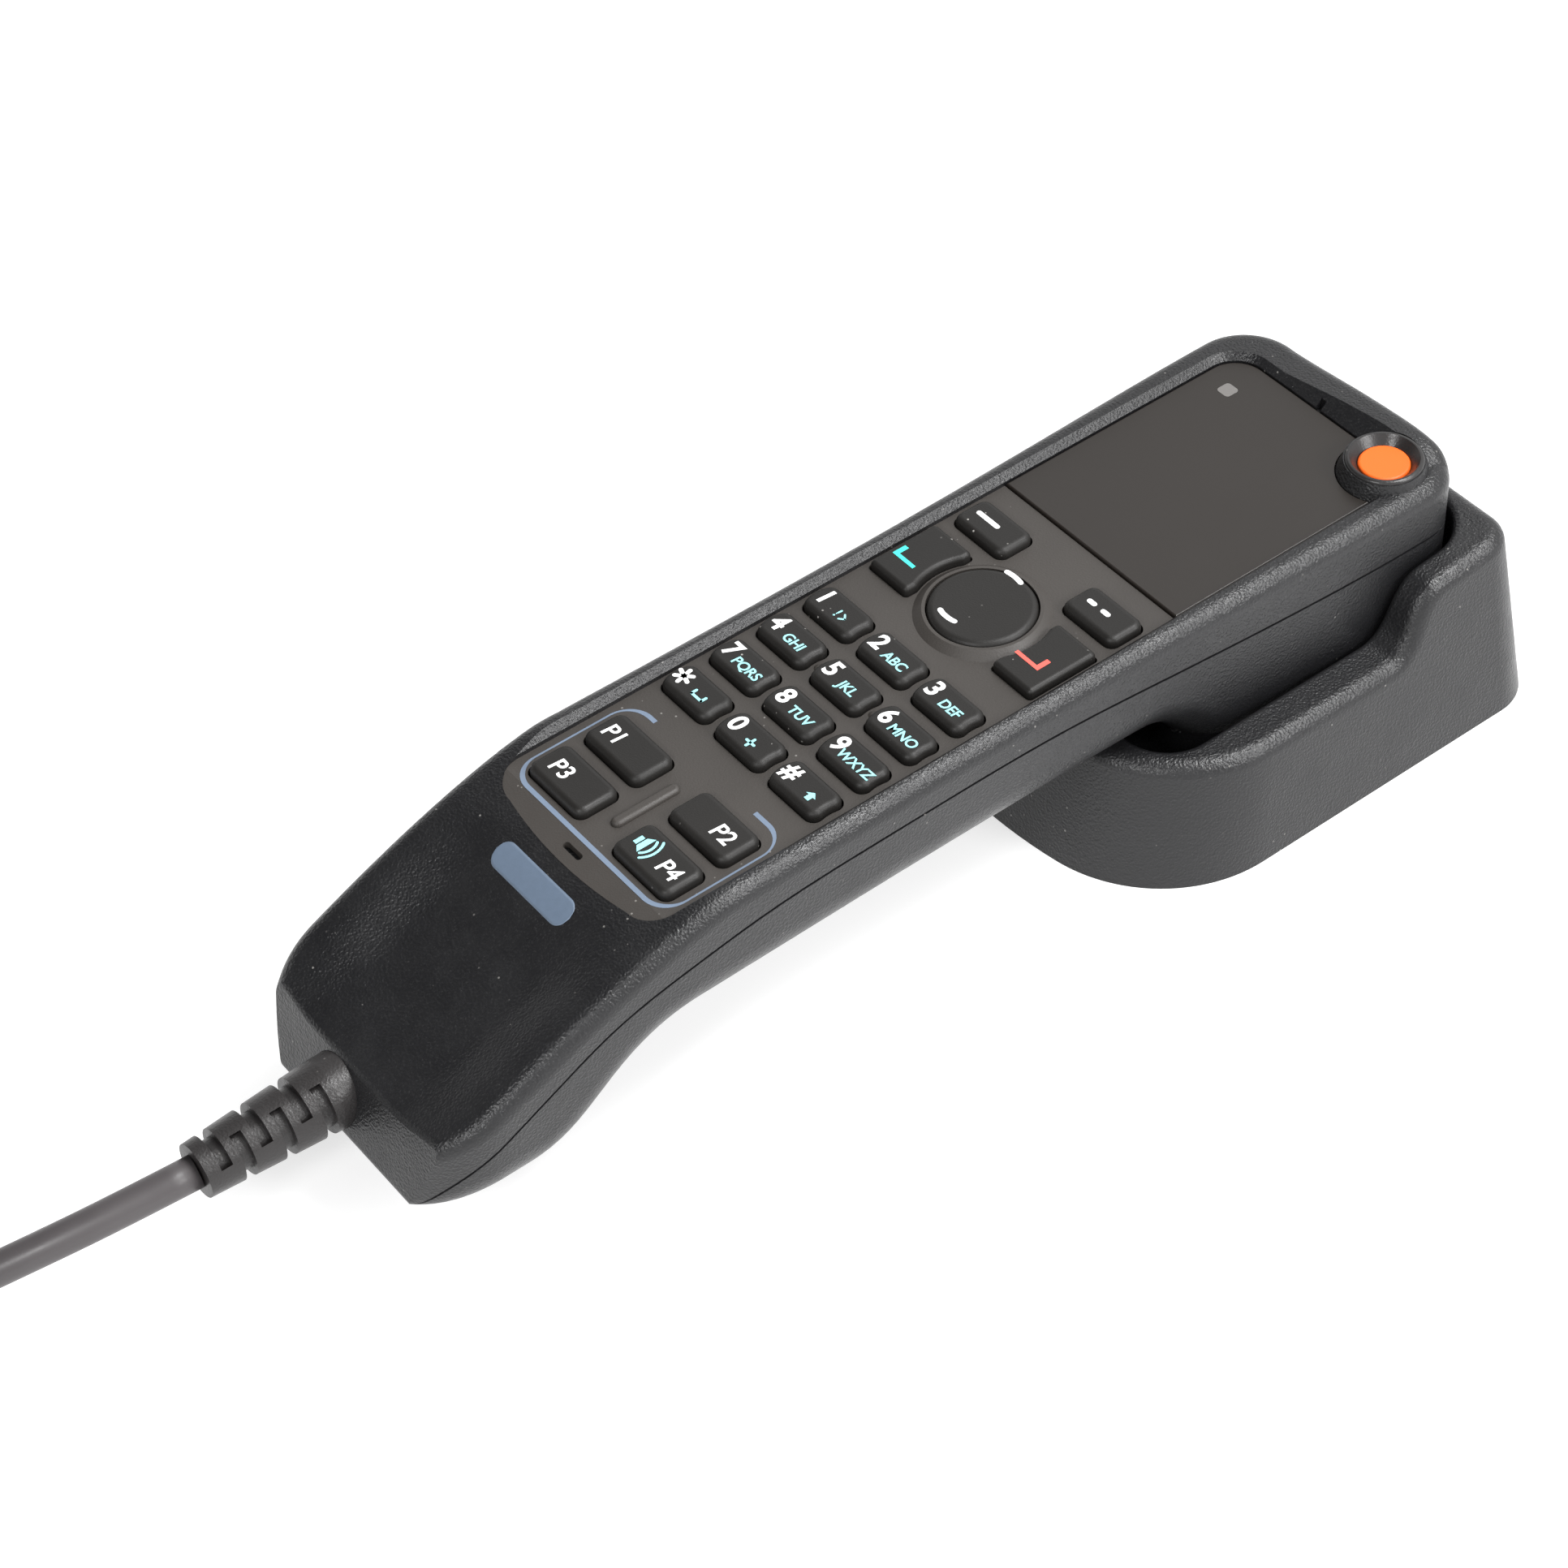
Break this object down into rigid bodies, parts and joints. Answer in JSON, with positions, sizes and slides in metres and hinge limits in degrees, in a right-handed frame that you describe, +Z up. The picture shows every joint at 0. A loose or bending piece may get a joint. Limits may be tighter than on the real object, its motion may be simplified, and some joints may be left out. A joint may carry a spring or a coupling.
{
  "type": "handset microphone",
  "caption": "Telephone-style control handset with keypad, display and emergency button, resting in a desk cradle, with a straight cord and modular plug.",
  "frame": {"origin": "middle of the footprint on the table, measured without the cord, coil and plug", "axes": "+X along the handset from the cord end to the display end, +Y to the left of someone reading the keys, +Z up from the table"},
  "size_m": [0.4094, 0.0893, 0.0503],
  "materials": {
    "shell_plastic": "fine leather grain",
    "panel_plastic": "smooth satin",
    "key_rubber": "satin",
    "window_acrylic": "gloss",
    "led_diffuser": "frosted",
    "alarm_orange": "satin",
    "collar_plastic": "gloss",
    "cable_rubber": "matte",
    "soft_rubber": "matte",
    "steel": "zinc plated",
    "dome_steel": "polished",
    "board": "solder mask",
    "chip_plastic": "moulded",
    "lcd_glass": "polished",
    "white_plastic": "moulded",
    "contact_gold": "gold plated",
    "plug_clear": "clear",
    "magnet_metal": "nickel plated",
    "tie_fabric": "woven"
  },
  "bodies": {
    "cradle": {"cradle_body": "shell_plastic", "cradle_base": "shell_plastic", "cradle_screws": "steel", "ballast_plate": "steel", "cradle_pads": "soft_rubber", "cradle_magnet": "magnet_metal", "cord_coil": "cable_rubber", "cord_tail": "cable_rubber", "coil_tie": "tie_fabric", "plug_body": "plug_clear", "plug_contacts": "contact_gold", "plug_boot": "cable_rubber"},
    "handset": {"front_shell": "shell_plastic", "rear_shell": "shell_plastic", "keypad_panel": "panel_plastic", "display_window": "window_acrylic", "led_lens": "led_diffuser", "display_module": "lcd_glass", "display_frame": "white_plastic", "keypad_mat": "soft_rubber", "key_domes": "dome_steel", "main_board": "board", "board_components": "chip_plastic", "earpiece_speaker": "chip_plastic", "earpiece_gasket": "soft_rubber", "earpiece_mesh": "tie_fabric", "microphone_capsule": "magnet_metal", "microphone_boot": "soft_rubber", "emergency_collar": "collar_plastic", "emergency_switch": "chip_plastic", "shell_screws": "steel", "board_screws": "steel", "strain_relief": "cable_rubber", "cable_clamp": "chip_plastic", "inside_cable": "cable_rubber", "board_socket": "white_plastic", "reed_switch": "lcd_glass", "cord_lead": "cable_rubber"},
    "key_1": {"key_1": "key_rubber"},
    "key_2": {"key_2": "key_rubber"},
    "key_3": {"key_3": "key_rubber"},
    "key_4": {"key_4": "key_rubber"},
    "key_5": {"key_5": "key_rubber"},
    "key_6": {"key_6": "key_rubber"},
    "key_7": {"key_7": "key_rubber"},
    "key_8": {"key_8": "key_rubber"},
    "key_9": {"key_9": "key_rubber"},
    "key_star": {"key_star": "key_rubber"},
    "key_0": {"key_0": "key_rubber"},
    "key_hash": {"key_hash": "key_rubber"},
    "key_p1": {"key_p1": "key_rubber"},
    "key_p2": {"key_p2": "key_rubber"},
    "key_p3": {"key_p3": "key_rubber"},
    "key_p4": {"key_p4": "key_rubber"},
    "softkey_left": {"softkey_left": "key_rubber"},
    "softkey_right": {"softkey_right": "key_rubber"},
    "call_key": {"call_key": "key_rubber"},
    "end_key": {"end_key": "key_rubber"},
    "nav_key": {"nav_key": "key_rubber"},
    "emergency_button": {"emergency_button": "alarm_orange"}
  },
  "joints": [
    {"name": "handset_lift", "type": "slide", "parent": "cradle", "child": "handset", "axis": [0, 0, 1], "range_m": [0, 0.06]},
    {"name": "key_1_press", "type": "slide", "parent": "handset", "child": "key_1", "axis": [0, 0, -1], "range_m": [0, 0.0008], "stiffness_N_per_m": 600},
    {"name": "key_2_press", "type": "slide", "parent": "handset", "child": "key_2", "axis": [0, 0, -1], "range_m": [0, 0.0008], "stiffness_N_per_m": 600},
    {"name": "key_3_press", "type": "slide", "parent": "handset", "child": "key_3", "axis": [0, 0, -1], "range_m": [0, 0.0008], "stiffness_N_per_m": 600},
    {"name": "key_4_press", "type": "slide", "parent": "handset", "child": "key_4", "axis": [0, 0, -1], "range_m": [0, 0.0008], "stiffness_N_per_m": 600},
    {"name": "key_5_press", "type": "slide", "parent": "handset", "child": "key_5", "axis": [0, 0, -1], "range_m": [0, 0.0008], "stiffness_N_per_m": 600},
    {"name": "key_6_press", "type": "slide", "parent": "handset", "child": "key_6", "axis": [0, 0, -1], "range_m": [0, 0.0008], "stiffness_N_per_m": 600},
    {"name": "key_7_press", "type": "slide", "parent": "handset", "child": "key_7", "axis": [0, 0, -1], "range_m": [0, 0.0008], "stiffness_N_per_m": 600},
    {"name": "key_8_press", "type": "slide", "parent": "handset", "child": "key_8", "axis": [0, 0, -1], "range_m": [0, 0.0008], "stiffness_N_per_m": 600},
    {"name": "key_9_press", "type": "slide", "parent": "handset", "child": "key_9", "axis": [0, 0, -1], "range_m": [0, 0.0008], "stiffness_N_per_m": 600},
    {"name": "key_star_press", "type": "slide", "parent": "handset", "child": "key_star", "axis": [0, 0, -1], "range_m": [0, 0.0008], "stiffness_N_per_m": 600},
    {"name": "key_0_press", "type": "slide", "parent": "handset", "child": "key_0", "axis": [0, 0, -1], "range_m": [0, 0.0008], "stiffness_N_per_m": 600},
    {"name": "key_hash_press", "type": "slide", "parent": "handset", "child": "key_hash", "axis": [0, 0, -1], "range_m": [0, 0.0008], "stiffness_N_per_m": 600},
    {"name": "key_p1_press", "type": "slide", "parent": "handset", "child": "key_p1", "axis": [0, 0, -1], "range_m": [0, 0.0008], "stiffness_N_per_m": 600},
    {"name": "key_p2_press", "type": "slide", "parent": "handset", "child": "key_p2", "axis": [0, 0, -1], "range_m": [0, 0.0008], "stiffness_N_per_m": 600},
    {"name": "key_p3_press", "type": "slide", "parent": "handset", "child": "key_p3", "axis": [0, 0, -1], "range_m": [0, 0.0008], "stiffness_N_per_m": 600},
    {"name": "key_p4_press", "type": "slide", "parent": "handset", "child": "key_p4", "axis": [0, 0, -1], "range_m": [0, 0.0008], "stiffness_N_per_m": 600},
    {"name": "softkey_left_press", "type": "slide", "parent": "handset", "child": "softkey_left", "axis": [0, 0, -1], "range_m": [0, 0.0008], "stiffness_N_per_m": 600},
    {"name": "softkey_right_press", "type": "slide", "parent": "handset", "child": "softkey_right", "axis": [0, 0, -1], "range_m": [0, 0.0008], "stiffness_N_per_m": 600},
    {"name": "call_key_press", "type": "slide", "parent": "handset", "child": "call_key", "axis": [0, 0, -1], "range_m": [0, 0.0008], "stiffness_N_per_m": 600},
    {"name": "end_key_press", "type": "slide", "parent": "handset", "child": "end_key", "axis": [0, 0, -1], "range_m": [0, 0.0008], "stiffness_N_per_m": 600},
    {"name": "nav_key_rock", "type": "hinge", "parent": "handset", "child": "nav_key", "pos_m": [0.02895, 0, 0.04375], "axis": [0, 1, 0], "range_deg": [-2.5, 2.5], "stiffness_Nm_per_rad": 1.2},
    {"name": "emergency_button_press", "type": "slide", "parent": "handset", "child": "emergency_button", "axis": [0, 0, -1], "range_m": [0, 0.0012], "stiffness_N_per_m": 800}
  ]
}
